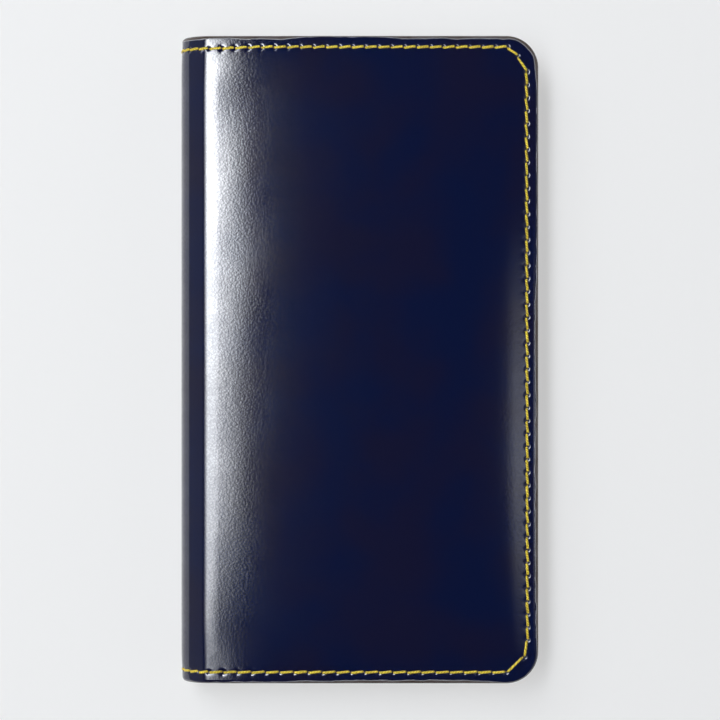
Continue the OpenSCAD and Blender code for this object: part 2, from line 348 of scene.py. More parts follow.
def spread(low, high, gap):
    """Places about a gap apart between low and high, both left out."""
    count = max(1, round((high - low) / gap))
    return [low + (high - low) * i / count for i in range(1, count)]


def flat_sheet(step, rings, grid, thickness):
    """A closed flat half hide. step is the spacing of points along its edge, rings the distances in from
    the edge that get a loop of their own, and grid the spacing in the middle."""
    deselect()
    bpy.ops.mesh.primitive_plane_add(size=1)
    sheet = bpy.context.object
    sheet.scale = (2 * HALF_U, 2 * HALF_H, 1)
    bpy.ops.object.transform_apply(scale=True)
    bpy.ops.object.mode_set(mode="EDIT")
    bpy.ops.mesh.select_all(action="SELECT")
    arc = max(6, round(CORNER_R * math.pi / 2 / step))
    bpy.ops.mesh.bevel(offset=CORNER_R, segments=arc, affect="VERTICES", clamp_overlap=False)
    for axis, sign, length in ((1, 1, HALF_U), (1, -1, HALF_U), (0, 1, HALF_H), (0, -1, HALF_H)):
        select_by(sheet, lambda e, a=axis, s=sign: e.calc_length() > 20 and all(
            w.co[a] * s > 20 and abs(e.verts[0].co[a] - e.verts[1].co[a]) < 1 for w in e.verts), "edges")
        # one pass makes no more than a hundred cuts, so the edge is divided twice
        parts = max(2, round(math.sqrt((2 * length - 2 * CORNER_R) / step)))
        bpy.ops.mesh.subdivide(number_cuts=parts - 1)
        bpy.ops.mesh.subdivide(number_cuts=parts - 1)
    # the wall, in two steps so that its foot can be broken, and the underside
    bpy.ops.mesh.select_mode(type="EDGE")
    bpy.ops.mesh.select_all(action="SELECT")
    for share in (0.94, 0.06):
        bpy.ops.mesh.extrude_edges_move(TRANSFORM_OT_translate={"value": (0, 0, -thickness * share)})
    bpy.ops.mesh.edge_face_add()
    # loops that follow the outline, on the upper face
    select_by(sheet, lambda f: len(f.verts) > 40 and f.calc_center_median().z > -1e-6)
    for before, after in zip([0] + rings[:-1], rings):
        bpy.ops.mesh.inset(thickness=after - before, use_even_offset=True)
    # this half of the hide, and a grid over both broad faces
    cut((0, 0, 0), (1, 0, 0), clear_inner=True, use_fill=True)
    select_by(sheet, lambda f: f.calc_area() > 1000)
    bpy.ops.mesh.hide(unselected=True)
    columns = spread(FLAT / 2, PAGE_U, 0.5) + [FLAT / 2, PAGE_U] + spread(PAGE_U, HALF_U, grid)
    for u in columns:
        cut((u, 0, 0), (1, 0, 0))
    for v in spread(-HALF_H, HALF_H, grid):
        cut((0, v, 0), (0, 1, 0))
    bpy.ops.mesh.reveal(select=False)
    bpy.ops.object.mode_set(mode="OBJECT")
    deselect()
    return sheet


def form_sheet(sheet, upper, top, bottom, relief=None, round_edge=False):
    """Gives a flat sheet its relief and edge, marks its distance from the edge, and folds it."""
    points = coordinates(sheet)
    u, v = points[:, 0].copy(), points[:, 1].copy()
    d = edge_distance(u, v)
    upper_face = points[:, 2] > -1e-6
    foot = points[:, 2] < (bottom - top) * 0.99
    lift = top + points[:, 2]
    if relief is not None:
        lift[upper_face] += relief(u[upper_face], v[upper_face])
    if round_edge:
        lift[upper_face] -= edge_fall(d[upper_face])
        lift[upper_face] = np.maximum(lift[upper_face], top - EDGE_FALL - 0.1)
    # the lower corner is broken a little, so that the layers read as layers
    outer = d < OUTLINE
    shrink = np.where(foot & outer, FOOT_BREAK, 0)
    side = np.maximum(np.abs(u) - (HALF_U - CORNER_R), 0)
    end = np.maximum(np.abs(v) - (HALF_H - CORNER_R), 0) * np.sign(v)
    away = np.maximum(np.hypot(side, end), 1e-6)
    # painted edges are never quite straight
    uneven = EDGE_WANDER * undulation(u * 3.1, v * 3.1) * outer
    u -= (shrink + uneven) * side / away
    v -= (shrink + uneven) * end / away
    set_coordinates(sheet, wrap(np.stack((u, v, lift), 1), upper))
    set_attribute(sheet, "edge_mm", d)
    if not upper:
        activate(sheet)
        bpy.ops.object.mode_set(mode="EDIT")
        bpy.ops.mesh.select_all(action="SELECT")
        bpy.ops.mesh.flip_normals()
        bpy.ops.object.mode_set(mode="OBJECT")


def copy_of(piece):
    twin = piece.copy()
    twin.data = piece.data.copy()
    bpy.context.scene.collection.objects.link(twin)
    return twin


def blend_over_fold(piece, upper):
    """Bakes the piece's placement into its mesh. The upper and the lower half are treated alike, and nothing
    is bent here.
    """
    if upper:
        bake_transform(piece)
    else:
        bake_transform(piece)


def cut_window(piece):
    """Opens the camera window through a layer of the back cover."""
    deselect()
    bpy.ops.mesh.primitive_cube_add(size=1)
    tool = bpy.context.object
    set_coordinates(tool, coordinates(tool) * np.array((*WINDOW, 12.0)))
    bpy.ops.object.mode_set(mode="EDIT")
    select_by(tool, lambda e: abs(e.verts[0].co.z - e.verts[1].co.z) > 1, "edges")
    bpy.ops.mesh.bevel(offset=WINDOW[1] / 2 - 0.01, segments=20, clamp_overlap=False)
    bpy.ops.object.mode_set(mode="OBJECT")
    set_coordinates(tool, (coordinates(tool) + np.array((*WINDOW_AT, 0))) * MM)
    activate(piece)
    opening = piece.modifiers.new("window", "BOOLEAN")
    opening.operation = "DIFFERENCE"
    opening.solver = "EXACT"
    opening.object = tool
    bpy.ops.object.modifier_apply(modifier=opening.name)
    bpy.data.objects.remove(tool)
    # the cut edge is painted as the outline is
    x, y, _ = (coordinates(piece) / MM).T
    half = WINDOW[0] / 2 - WINDOW[1] / 2
    away = np.hypot(np.maximum(np.abs(x - WINDOW_AT[0]) - half, 0), y - WINDOW_AT[1]) - WINDOW[1] / 2
    kept = np.zeros(len(x), np.float32)
    piece.data.attributes["edge_mm"].data.foreach_get("value", kept)
    set_attribute(piece, "edge_mm", np.minimum(kept, np.abs(away)))


# ---------------------------------------------------------------- stitches

def stitch_form():
    """One stitch, a unit long and a unit in radius, with both ends closed: its points and its faces."""
    deselect()
    bpy.ops.mesh.primitive_cylinder_add(vertices=8, radius=1, depth=1, end_fill_type="NGON")
    form = bpy.context.object
    bpy.ops.object.mode_set(mode="EDIT")
    for level in (-0.46, -0.38, -0.25, 0.0, 0.25, 0.38, 0.46):
        cut((0, 0, level), (0, 0, 1))
    bpy.ops.object.mode_set(mode="OBJECT")
    points = coordinates(form)
    faces = [tuple(f.vertices) for f in form.data.polygons]
    bpy.data.objects.remove(form)
    return points, faces


STITCH_POINTS, STITCH_FACES = stitch_form()
STITCH_T = STITCH_POINTS[:, 2] + 0.5
STITCH_ANGLE = np.arctan2(STITCH_POINTS[:, 1], STITCH_POINTS[:, 0]) / math.tau


def stitch_points(a, b, level, radius, inward=False, lean=0.13, ground=(0, 0)):
    """A stitch from hole a to hole b: it rises out of one hole and dives into the next. level is the
    height of its axis over the ground, whose height is given at each hole."""
    length = np.linalg.norm(b - a)
    along = (b - a) / length
    across = np.array((-along[1], along[0]))
    t = STITCH_T
    end = np.abs(2 * t - 1)
    girth = radius * (1 - 0.16 * end ** 3 - 0.34 * end ** 12) * rng.uniform(0.97, 1.06)
    arch = level + rng.uniform(-0.02, 0.02) - 0.60 * end ** 14 + ground[0] + (ground[1] - ground[0]) * t
    sway = lean * rng.uniform(0.75, 1.25) * np.sin((2 * t - 1) * math.pi / 2)
    sway = sway + girth * STITCH_POINTS[:, 0]
    up = arch + 0.92 * girth * STITCH_POINTS[:, 1]
    path = a + np.outer(0.04 + t * (length - 0.08), along) + np.outer(sway, across)
    return np.column_stack((path, -up if inward else up))


def seam_piece(stitches, place):
    """Joins stitches, each an array of points on the sheet, into one mesh with a length-wise UV map."""
    count = len(STITCH_POINTS)
    points = np.concatenate(stitches)
    faces = [tuple(i + n * count for i in f) for n in range(len(stitches)) for f in STITCH_FACES]
    mesh = bpy.data.meshes.new("seam")
    mesh.from_pydata(place(points), [], faces)
    corners = []
    for f in STITCH_FACES:
        turns = [STITCH_ANGLE[i] for i in f]
        wide = max(turns) - min(turns) > 0.5
        corners += [(t + 1 if wide and t < 0 else t, STITCH_T[i]) for t, i in zip(turns, f)]
    uv = mesh.uv_layers.new(name="thread")
    uv.data.foreach_set("uv", np.tile(np.array(corners), (len(stitches), 1)).ravel())
    piece = bpy.data.objects.new("seam", mesh)
    bpy.context.scene.collection.objects.link(piece)
    make_consistent(piece)
    shade(piece, 180)
    return piece


def outer_seam(upper):
    """The visible seam of a cover. Each stitch follows the crown of the leather under it."""
    stitches = []
    for a, b in SHEET_STITCHES:
        # the stitch across the middle of the spine belongs to the upper half
        if min(a[0], b[0]) < 0 and not upper:
            continue
        ends = np.array((a, b))
        ground = crown_height(*ends.T) if upper else np.full(2, -BACK_SEAM_DIP)
        stitches.append(stitch_points(a, b, THREAD_LEVEL, THREAD_R, ground=ground))
    return seam_piece(stitches, lambda p: wrap(p, upper))


def inner_face(x, y):
    """The innermost face under a stitch whose right-hand end is at x and whose lower end is at y."""
    layers = 0 if x < BILL_MOUTH else 1
    if x >= CARD_SIDE:
        layers += sum(1 for lip in LIPS.values() if y <= lip)
    return BILL_TOP - POCKET_STEP * layers


def inner_seam(upper):
    """The seam's inner side. On the front cover it lies on the pockets, elsewhere on the lining."""
    stitches = []
    for number, (a, b) in enumerate(SHEET_STITCHES):
        if min(a[0], b[0]) < 0 and not upper:
            continue
        level = BILL_TOP
        if upper and number < len(PAGE_STITCHES):
            level = inner_face(max(a[0], b[0]) - PAGE_U + PAGE_X, min(a[1], b[1]))
        stitches.append(stitch_points(a, b, RIM - level + 0.12, THREAD_R * 0.92, inward=True))
    return seam_piece(stitches, lambda p: wrap(p, upper))


def pocket_seam():
    """The finer seam that closes the card pockets on the fold side, sunk in its channel."""
    stitches = []
    lips = list(LIPS.values())
    for top, low, count in zip(lips, lips[1:] + [POCKET_FOOT], (4, 4, 25)):
        holes = run(np.array((CARD_SEAM, top - 0.4)), np.array((CARD_SEAM, low)), count)
        level = inner_face(CARD_SEAM, top - 0.1) + FINE_R
        for a, b in zip(holes[:-1], holes[1:]):
            stitches.append(stitch_points(a, b, -level, FINE_R, inward=True, lean=0.08))
    return seam_piece(stitches, lambda p: p * MM)


# ---------------------------------------------------------------- pockets

def pocket_panel(x_left, y_high, top, mouth_at_side):
    """A pocket's panel: thin leather with a creased lip, and a border that closes it on three sides."""
    deselect()
    bpy.ops.mesh.primitive_plane_add(size=1)
    panel = bpy.context.object
    corner_low = np.array((x_left, -HALF_H, 0))
    size = np.array((HALF_W - x_left, y_high + HALF_H, 0))
    set_coordinates(panel, corner_low + (coordinates(panel) + 0.5) * size)
    full = y_high > HALF_H - 1e-3
    bpy.ops.object.mode_set(mode="EDIT")
    bpy.ops.mesh.select_all(action="DESELECT")
    bpy.ops.mesh.select_mode(type="VERT")
    mesh = bmesh.from_edit_mesh(panel.data)
    for w in mesh.verts:
        w.select_set(w.co.x > HALF_W - 1 and (w.co.y < 0 or full))
    bmesh.update_edit_mesh(panel.data)
    bpy.ops.mesh.bevel(offset=CORNER_R, segments=18, affect="VERTICES", clamp_overlap=False)
    bpy.ops.mesh.select_all(action="SELECT")
    bpy.ops.mesh.extrude_region_move(TRANSFORM_OT_translate={"value": (0, 0, POCKET_STEP)})
    bpy.ops.mesh.select_all(action="SELECT")
    bpy.ops.mesh.normals_make_consistent(inside=False)
    lip_lines = (0.12, 0.3, 0.55, 1.35, 1.6, 1.85)
    across = [x_left + POCKET_BORDER, x_left + POCKET_BORDER + 0.2, HALF_W - POCKET_BORDER - 0.2,
              HALF_W - POCKET_BORDER] + spread(x_left, HALF_W, 4)
    if mouth_at_side:
        across += [x_left + s for s in lip_lines]
    else:
        across += [CARD_SEAM + s for s in (-0.5, -0.4, -0.2, 0.2, 0.4, 0.5)]
    up = [-HALF_H + POCKET_BORDER, -HALF_H + POCKET_BORDER + 0.2] + spread(-HALF_H, y_high, 4)
    up += [] if mouth_at_side else [y_high - s for s in lip_lines]
    for x in across:
        cut((x, 0, 0), (1, 0, 0))
    for y in up:
        cut((0, y, 0), (0, 1, 0))
    bpy.ops.object.mode_set(mode="OBJECT")

    x, y, z = coordinates(panel).T
    back = z > POCKET_STEP / 2
    lip = x - x_left if mouth_at_side else y_high - y
    side = np.full(len(x), 1e3) if mouth_at_side else x - x_left
    outline = edge_distance(x - PAGE_X + PAGE_U, y)
    # air behind the panel, from the mouth to the stitched border
    hollow = smoothstep(POCKET_BORDER, POCKET_BORDER + 0.2, np.minimum(outline, side))
    z = np.where(back, z - hollow * POCKET_AIR, z)
    rounding = 0.12 * (1 - smoothstep(0, 0.3, lip))
    crease = 0.10 * np.exp(-((lip - 1.6) / 0.16) ** 2)
    channel = 0 if mouth_at_side else 0.42 * (1 - smoothstep(0.25, 0.5, np.abs(x - CARD_SEAM)))
    z = np.where(back, z - rounding * (lip < 0.01), z + rounding + crease + channel)
    set_coordinates(panel, np.stack((x, y, z + top - POCKET_STEP), 1) * MM)
    set_attribute(panel, "edge_mm", np.minimum(np.minimum(outline, lip + 0.35), side + 0.2))
    shade(panel, 35)
    return panel


# ---------------------------------------------------------------- materials

def node_group(name, inputs, outputs):
    tree = bpy.data.node_groups.new(name, "ShaderNodeTree")
    for label, kind, value in inputs:
        socket = tree.interface.new_socket(label, in_out="INPUT", socket_type=kind)
        if value is not None:
            socket.default_value = value
    for label, kind in outputs:
        tree.interface.new_socket(label, in_out="OUTPUT", socket_type=kind)
    return tree, tree.nodes.new("NodeGroupInput"), tree.nodes.new("NodeGroupOutput")


def feed(tree, socket, value):
    """Links another node's output to a socket, or sets the socket to a constant."""
    if isinstance(value, bpy.types.NodeSocket):
        tree.links.new(value, socket)
    else:
        socket.default_value = value


def add(tree, kind, links=None, **settings):
    """A node with some settings. links maps an input's name or number to a value or to another output."""
    node = tree.nodes.new(kind)
    for key, value in settings.items():
        setattr(node, key, value)
    for key, value in (links or {}).items():
        feed(tree, node.inputs[key], value)
    return node


def use_group(tree, group, links):
    return add(tree, "ShaderNodeGroup", links, node_tree=group)


def maths(tree, operation, a, b=0.0, c=0.0):
    return add(tree, "ShaderNodeMath", {0: a, 1: b, 2: c}, operation=operation).outputs[0]


def ramp(tree, value, low, high, out_low=0.0, out_high=1.0):
    """Smooth rise from out_low where value is low to out_high where it is high."""
    links = {"Value": value, "From Min": low, "From Max": high, "To Min": out_low, "To Max": out_high}
    return add(tree, "ShaderNodeMapRange", links, interpolation_type="SMOOTHSTEP").outputs["Result"]


def mix_colour(tree, factor, a, b, blend="MIX"):
    node = add(tree, "ShaderNodeMix", {0: factor, 6: a, 7: b}, data_type="RGBA", blend_type=blend)
    return node.outputs[2]


def leather_grain():
    """Fine pebbled grain, packed closer up the page than across it, with slow swells and drawn creases."""
    tree, given, made = node_group(
        "leather_grain",
        [("Position", "NodeSocketVector", None), ("Cells per mm", "NodeSocketFloat", 1.6),
         ("Creases", "NodeSocketFloat", 0.4)],
        [("Height", "NodeSocketFloat")],
    )
    place = add(tree, "ShaderNodeVectorMath", {0: given.outputs["Position"], 1: (1000, 1200, 1000)},
                operation="MULTIPLY").outputs[0]
    wobble = add(tree, "ShaderNodeTexNoise", {"Vector": place, "Scale": 0.9, "Detail": 2.0})
    bent = add(tree, "ShaderNodeVectorMath", {0: wobble.outputs["Color"], 1: (0.3, 0.3, 0.3), 2: place},
               operation="MULTIPLY_ADD").outputs[0]
    cells = add(tree, "ShaderNodeTexVoronoi", {"Vector": bent, "Scale": given.outputs["Cells per mm"]},
                feature="SMOOTH_F1")
    cells.inputs["Smoothness"].default_value = 0.55
    fine = add(tree, "ShaderNodeTexNoise", {"Vector": place, "Scale": 2.3, "Detail": 1.0})
    slow = add(tree, "ShaderNodeTexNoise", {"Vector": place, "Scale": 0.16, "Detail": 2.0})
    stretched = add(tree, "ShaderNodeVectorMath", {0: bent, 1: (0.42, 0.13, 0.42)},
                    operation="MULTIPLY").outputs[0]
    lines = add(tree, "ShaderNodeTexVoronoi", {"Vector": stretched, "Scale": 1.0},
                feature="DISTANCE_TO_EDGE")
    crease = ramp(tree, lines.outputs["Distance"], 0.0, 0.09, 1.0, 0.0)
    height = maths(tree, "MULTIPLY_ADD", cells.outputs["Distance"], -0.8, 0.32)
    height = maths(tree, "MULTIPLY_ADD", fine.outputs["Fac"], 0.4, height)
    height = maths(tree, "MULTIPLY_ADD", slow.outputs["Fac"], 0.8, height)
    weight = maths(tree, "MULTIPLY", crease, given.outputs["Creases"])
    height = maths(tree, "SUBTRACT", height, maths(tree, "MULTIPLY", weight, 0.35))
    tree.links.new(height, made.inputs["Height"])
    return tree


def painted_edge():
    """Mask of the paint along a cut edge, with a slightly wandering border, and of a pale line along its
    inner border, a painted glint of the rounded edge.
    """
    tree, given, made = node_group(
        "painted_edge",
        [("Position", "NodeSocketVector", None), ("Distance mm", "NodeSocketFloat", 0.0),
         ("Width mm", "NodeSocketFloat", 0.75)],
        [("Paint", "NodeSocketFloat"), ("Painted glint line", "NodeSocketFloat"), ("Height", "NodeSocketFloat")],
    )
    drift = add(tree, "ShaderNodeTexNoise", {"Vector": given.outputs["Position"], "Scale": 260.0,
                                             "Detail": 3.0}).outputs["Fac"]
    loose = ramp(tree, given.outputs["Distance mm"], 0.05, 0.45)
    sway = maths(tree, "MULTIPLY", maths(tree, "SUBTRACT", drift, 0.5), 0.75)
    shift = maths(tree, "MULTIPLY_ADD", sway, loose, given.outputs["Distance mm"])
    reach = add(tree, "ShaderNodeTexNoise", {"Vector": given.outputs["Position"], "Scale": 42.0,
                                             "Detail": 1.0}).outputs["Fac"]
    width = maths(tree, "MULTIPLY", given.outputs["Width mm"], ramp(tree, reach, 0.35, 0.6, 0.45, 1.15))
    over = maths(tree, "SUBTRACT", shift, width)
    paint = ramp(tree, over, -0.06, 0.04, 1.0, 0.0)
    # painted glint: a band just inside the paint's border, where the rounded edge would catch the light
    inner = maths(tree, "MULTIPLY", ramp(tree, over, -0.32, -0.10), loose)
    tree.links.new(paint, made.inputs["Paint"])
    tree.links.new(maths(tree, "MULTIPLY", paint, inner), made.inputs["Painted glint line"])
    pits = add(tree, "ShaderNodeTexNoise", {"Vector": given.outputs["Position"], "Scale": 1700.0,
                                            "Detail": 3.0}).outputs["Fac"]
    tree.links.new(pits, made.inputs["Height"])
    return tree


def colour_drift():
    """A base colour that wanders a little, as dye does."""
    tree, given, made = node_group(
        "colour_drift",
        [("Position", "NodeSocketVector", None), ("Colour", "NodeSocketColor", None),
         ("Other", "NodeSocketColor", None), ("Scale", "NodeSocketFloat", 60.0)],
        [("Colour", "NodeSocketColor")],
    )
    cloud = add(tree, "ShaderNodeTexNoise", {"Vector": given.outputs["Position"],
                                             "Scale": given.outputs["Scale"], "Detail": 4.0})
    share = ramp(tree, cloud.outputs["Fac"], 0.35, 0.65)
    tree.links.new(mix_colour(tree, share, given.outputs["Colour"], given.outputs["Other"]),
                   made.inputs["Colour"])
    return tree


GRAIN = leather_grain()
PAINTED = painted_edge()
DRIFT = colour_drift()


def new_material(name):
    material = bpy.data.materials.new(name)
    material.use_nodes = True
    tree = material.node_tree
    shader = tree.nodes["Principled BSDF"]
    position = tree.nodes.new("ShaderNodeTexCoord").outputs["Object"]
    return material, tree, shader, position


def rgb(r, g, b):
    return (r, g, b, 1.0)


def leather(name, colour, other, gloss, cells, depth, coat, creases, width=0.75):
    """Dyed leather: grain, slow colour drift, duller grain pits, and a painted cut edge whose inner border
    carries a painted glint.
    """
    material, tree, shader, position = new_material(name)
    grain = use_group(tree, GRAIN, {"Position": position, "Cells per mm": cells, "Creases": creases})
    height = grain.outputs["Height"]
    dye = use_group(tree, DRIFT, {"Position": position, "Colour": colour, "Other": other}).outputs[0]
    distance = add(tree, "ShaderNodeAttribute", attribute_name="edge_mm").outputs["Fac"]
    edge = use_group(tree, PAINTED, {"Position": position, "Distance mm": distance, "Width mm": width})
    paint = edge.outputs["Paint"]
    brown = use_group(tree, DRIFT, {"Position": position, "Colour": rgb(0.080, 0.058, 0.047),
                                    "Other": rgb(0.125, 0.105, 0.100), "Scale": 190.0}).outputs[0]
    # the paint's brown, with a pale grey painted glint along its inner border
    glinting_paint = mix_colour(tree, edge.outputs["Painted glint line"], brown, rgb(0.30, 0.30, 0.31))
    tree.links.new(mix_colour(tree, paint, dye, glinting_paint), shader.inputs["Base Color"])

    rough = ramp(tree, height, 0.2, 1.2, gloss * 1.3, gloss * 0.9)
    tree.links.new(maths(tree, "MULTIPLY_ADD", paint, 0.10, rough), shader.inputs["Roughness"])
    coated = maths(tree, "SUBTRACT", 1.0, paint)
    coated = maths(tree, "MULTIPLY_ADD", coated, coat - 0.15, 0.15)
    coated = maths(tree, "MULTIPLY", coated, ramp(tree, height, 0.25, 0.95, 0.62, 1.10))
    tree.links.new(coated, shader.inputs["Coat Weight"])
    shader.inputs["Coat Roughness"].default_value = gloss * 0.7

    # paint fills the grain and has a faint roughness of its own
    flatter = maths(tree, "SUBTRACT", 1.0, maths(tree, "MULTIPLY", paint, 0.75))
    relief = maths(tree, "MULTIPLY", height, flatter)
    relief = maths(tree, "MULTIPLY_ADD", edge.outputs["Height"], maths(tree, "MULTIPLY", paint, 0.5), relief)
    bump = add(tree, "ShaderNodeBump", {"Height": relief, "Strength": 1.0, "Distance": depth * MM})
    tree.links.new(bump.outputs[0], shader.inputs["Normal"])
    return material


def thread_material(name, colour, shadow):
    """Waxed two-ply thread: slanting plies, and a soft wax sheen. Its colour holds painted light and shade:
    lighter along the top of each stitch and the crest of each ply, darker down the sides and in the gaps
    between plies.
    """
    material, tree, shader, position = new_material(name)
    uv = add(tree, "ShaderNodeUVMap", uv_map="thread").outputs[0]
    parts = add(tree, "ShaderNodeSeparateXYZ", {0: uv})
    turned = maths(tree, "MULTIPLY", parts.outputs["X"], 2.0)
    phase = maths(tree, "MULTIPLY_ADD", parts.outputs["Y"], 4.6, turned)
    ply = maths(tree, "ABSOLUTE", maths(tree, "SINE", maths(tree, "MULTIPLY", phase, math.pi)))
    fuzz = add(tree, "ShaderNodeTexNoise", {"Vector": position, "Scale": 5200.0, "Detail": 2.0})
    crown = maths(tree, "SINE", maths(tree, "MULTIPLY", parts.outputs["X"], math.tau))
    # painted light and shade: crests of the plies and the top of the stitch lit, sides and gaps between
    # plies shaded
    lit = maths(tree, "MULTIPLY", ramp(tree, ply, -0.15, 0.65), ramp(tree, crown, 0.05, 0.95))
    body = mix_colour(tree, lit, shadow, colour)
    drift = use_group(tree, DRIFT, {"Position": position, "Colour": rgb(1, 1, 1),
                                    "Other": rgb(0.86, 0.83, 0.70), "Scale": 420.0}).outputs[0]
    body = mix_colour(tree, 1.0, body, drift, "MULTIPLY")
    tree.links.new(body, shader.inputs["Base Color"])
    shader.inputs["Roughness"].default_value = 0.42
    shader.inputs["Sheen Weight"].default_value = 0.15
    height = maths(tree, "MULTIPLY_ADD", fuzz.outputs["Fac"], 0.25, ply)
    bump = add(tree, "ShaderNodeBump", {"Height": height, "Strength": 0.9, "Distance": 0.07 * MM})
    tree.links.new(bump.outputs[0], shader.inputs["Normal"])
    return material


def cloth_material(name, colour, other):
    """Twill pocket cloth: fine diagonal ribs, with painted shade darkening the grooves between them."""
    material, tree, shader, position = new_material(name)
    parts = add(tree, "ShaderNodeSeparateXYZ", {0: position})
    across = maths(tree, "ADD", parts.outputs["X"], parts.outputs["Y"])
    rib = maths(tree, "SINE", maths(tree, "MULTIPLY", across, math.tau / (0.55 * MM)))
    weft = maths(tree, "SINE", maths(tree, "MULTIPLY", parts.outputs["Y"], math.tau / (0.3 * MM)))
    height = maths(tree, "MULTIPLY_ADD", weft, 0.3, rib)
    # painted shade: colour follows the rib height, darker in the grooves and lighter on the crests
    body = mix_colour(tree, ramp(tree, height, -1.0, 1.0), other, colour)
    tree.links.new(body, shader.inputs["Base Color"])
    shader.inputs["Roughness"].default_value = 0.85
    shader.inputs["Sheen Weight"].default_value = 0.3
    bump = add(tree, "ShaderNodeBump", {"Height": height, "Strength": 0.5, "Distance": 0.05 * MM})
    tree.links.new(bump.outputs[0], shader.inputs["Normal"])
    return material


def plastic_material(name, colour, rough):
    """Moulded plastic with a fine spark-eroded texture."""
    material, tree, shader, position = new_material(name)
    dye = use_group(tree, DRIFT, {"Position": position, "Colour": colour,
                                  "Other": tuple(c * 0.8 for c in colour[:3]) + (1.0,)}).outputs[0]
    tree.links.new(dye, shader.inputs["Base Color"])
    grit = add(tree, "ShaderNodeTexNoise", {"Vector": position, "Scale": 3.5 / MM, "Detail": 3.0})
    tree.links.new(ramp(tree, grit.outputs["Fac"], 0.3, 0.7, rough - 0.05, rough + 0.08),
                   shader.inputs["Roughness"])
    bump = add(tree, "ShaderNodeBump", {"Height": grit.outputs["Fac"], "Strength": 0.5,
                                        "Distance": 0.03 * MM})
    tree.links.new(bump.outputs[0], shader.inputs["Normal"])
    return material


def felt_material(name, colour, other):
    """Bonded fibre: board and felt padding."""
    material, tree, shader, position = new_material(name)
    dye = use_group(tree, DRIFT, {"Position": position, "Colour": colour, "Other": other,
                                  "Scale": 900.0}).outputs[0]
    tree.links.new(dye, shader.inputs["Base Color"])
    shader.inputs["Roughness"].default_value = 0.9
    fibre = add(tree, "ShaderNodeTexNoise", {"Vector": position, "Scale": 2600.0, "Detail": 4.0})
    bump = add(tree, "ShaderNodeBump", {"Height": fibre.outputs["Fac"], "Strength": 0.6,
                                        "Distance": 0.08 * MM})
    tree.links.new(bump.outputs[0], shader.inputs["Normal"])
    return material


NAVY_HIDE = leather("polished_navy_hide", rgb(0.0032, 0.0078, 0.044), rgb(0.0078, 0.0080, 0.034),
                    gloss=0.08, cells=1.9, depth=0.0082, coat=0.9, creases=0.02)
NAVY_LINING = leather("navy_lining_leather", rgb(0.014, 0.019, 0.048), rgb(0.019, 0.025, 0.058),
                      gloss=0.46, cells=2.4, depth=0.030, coat=0.05, creases=0.8, width=0.4)
NAVY_POCKET = leather("navy_pocket_leather", rgb(0.013, 0.017, 0.045), rgb(0.017, 0.022, 0.053),
                      gloss=0.42, cells=2.2, depth=0.028, coat=0.1, creases=0.6, width=0.42)
BOARD = leather("painted_board_edge", rgb(0.10, 0.09, 0.085), rgb(0.13, 0.12, 0.118),
                gloss=0.45, cells=2.0, depth=0.02, coat=0.1, creases=0.0)
YELLOW_THREAD = thread_material("waxed_yellow_thread", rgb(1.0, 0.80, 0.060), rgb(0.42, 0.18, 0.004))
POCKET_CLOTH = cloth_material("navy_pocket_cloth", rgb(0.03, 0.036, 0.07), rgb(0.014, 0.017, 0.036))
TRAY_PLASTIC = plastic_material("black_tray_plastic", rgb(0.012, 0.013, 0.017), 0.42)
TRAY_TAPE = plastic_material("double_sided_tape", rgb(0.50, 0.50, 0.47), 0.6)
PADDING = felt_material("felt_padding", rgb(0.70, 0.67, 0.58), rgb(0.60, 0.57, 0.49))


# ---------------------------------------------------------------- the covers

HIDE_RINGS = [0.05, 0.14, 0.28, 0.46, 0.68, 0.95, 1.25, 1.55, 1.8, 2.0, 2.2, 2.4, 2.6, 2.8, 3.0, 3.2,
              3.45, 3.8, 4.3, 5.0, 6.0]
HIDE_STEP = 0.17
HIDE_GRID = 2.5
LAYER_RINGS = [0.12, 0.5, 1.0, 2.2, 3.0]
LAYER_STEP = 1.0
LAYER_GRID = 6


def make_hides():
    """The navy outer hide of both covers and the spine."""
    front = flat_sheet(HIDE_STEP, HIDE_RINGS, HIDE_GRID, HIDE_T)
    back = copy_of(front)
    form_sheet(front, True, 0, -HIDE_T, front_relief, round_edge=True)
    form_sheet(back, False, 0, -HIDE_T, back_relief, round_edge=True)
    cut_window(back)
    finish_piece(front, "front_hide", NAVY_HIDE,
                 ["front_outer_leather", "spine_outer_leather"])
    finish_piece(back, "back_hide", NAVY_HIDE, ["back_outer_leather"])
    for piece, upper in ((front, True), (back, False)):
        shade(piece)
        blend_over_fold(piece, upper)


def make_layer(name, material, top, bottom, nodes):
    """Board or lining of both covers, flush with the hide's edge."""
    front = flat_sheet(LAYER_STEP, LAYER_RINGS, LAYER_GRID, bottom - top)
    back = copy_of(front)
    form_sheet(front, True, -top, -bottom)
    form_sheet(back, False, -top, -bottom)
    cut_window(back)
    for piece, upper in ((front, True), (back, False)):
        cover = "front" if upper else "back"
        wanted = [f"{cover}_{nodes}"] + ([f"spine_{nodes}"] if upper else [])
        finish_piece(piece, f"{cover}_{name}", material, wanted)
        shade(piece, 30)
        blend_over_fold(piece, upper)


def make_seams():
    """Both sides of the yellow seam on both covers, and the finer seam of the card pockets."""
    for upper, cover in ((True, "front"), (False, "back")):
        for sew, side, layer in ((outer_seam, "face", "outer"), (inner_seam, "inside", "inner")):
            seam = sew(upper)
            nodes = [f"{cover}_{layer}_thread"] + ([f"spine_{layer}_thread"] if upper else [])
            finish_piece(seam, f"{cover}_{side}_stitching", YELLOW_THREAD, nodes)
            blend_over_fold(seam, upper)
    fine = pocket_seam()
    finish_piece(fine, "card_pocket_stitching", YELLOW_THREAD, ["pocket_thread"])
    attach(fine, "front_cover")


